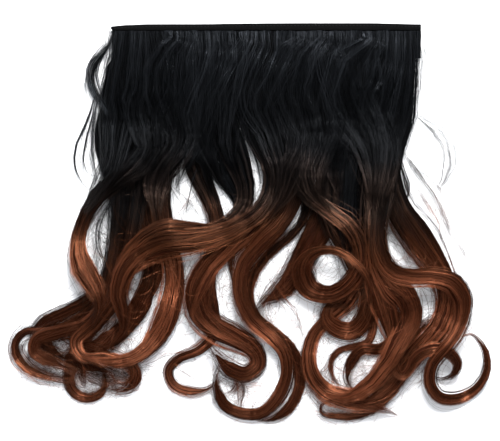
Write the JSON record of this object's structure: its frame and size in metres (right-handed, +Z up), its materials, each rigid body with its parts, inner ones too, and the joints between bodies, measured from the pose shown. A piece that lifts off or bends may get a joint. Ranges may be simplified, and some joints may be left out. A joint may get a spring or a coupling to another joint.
{
  "type": "clip in hair extension",
  "caption": "One-piece clip-in hair extension lying flat, with rows of long ombre curls sewn to one clip band.",
  "frame": {"origin": "on the table, under the plate of the middle clip", "axes": "+X along the band to the right as worn side up and seen from above, +Y from the curls to the band, +Z up"},
  "size_m": [0.4193, 0.3504, 0.0295],
  "materials": {
    "hair": "glossy fibre, black at the root to copper brown at the tips",
    "band_cloth": "matt black woven tape",
    "clip_lacquer": "satin black"
  },
  "bodies": {
    "root": {"weft_band": "band_cloth", "back_hair": "hair", "middle_hair": "hair", "front_hair": "hair", "clip_1": "clip_lacquer", "clip_2": "clip_lacquer", "clip_3": "clip_lacquer", "clip_4": "clip_lacquer", "clip_5": "clip_lacquer"}
  },
  "joints": []
}
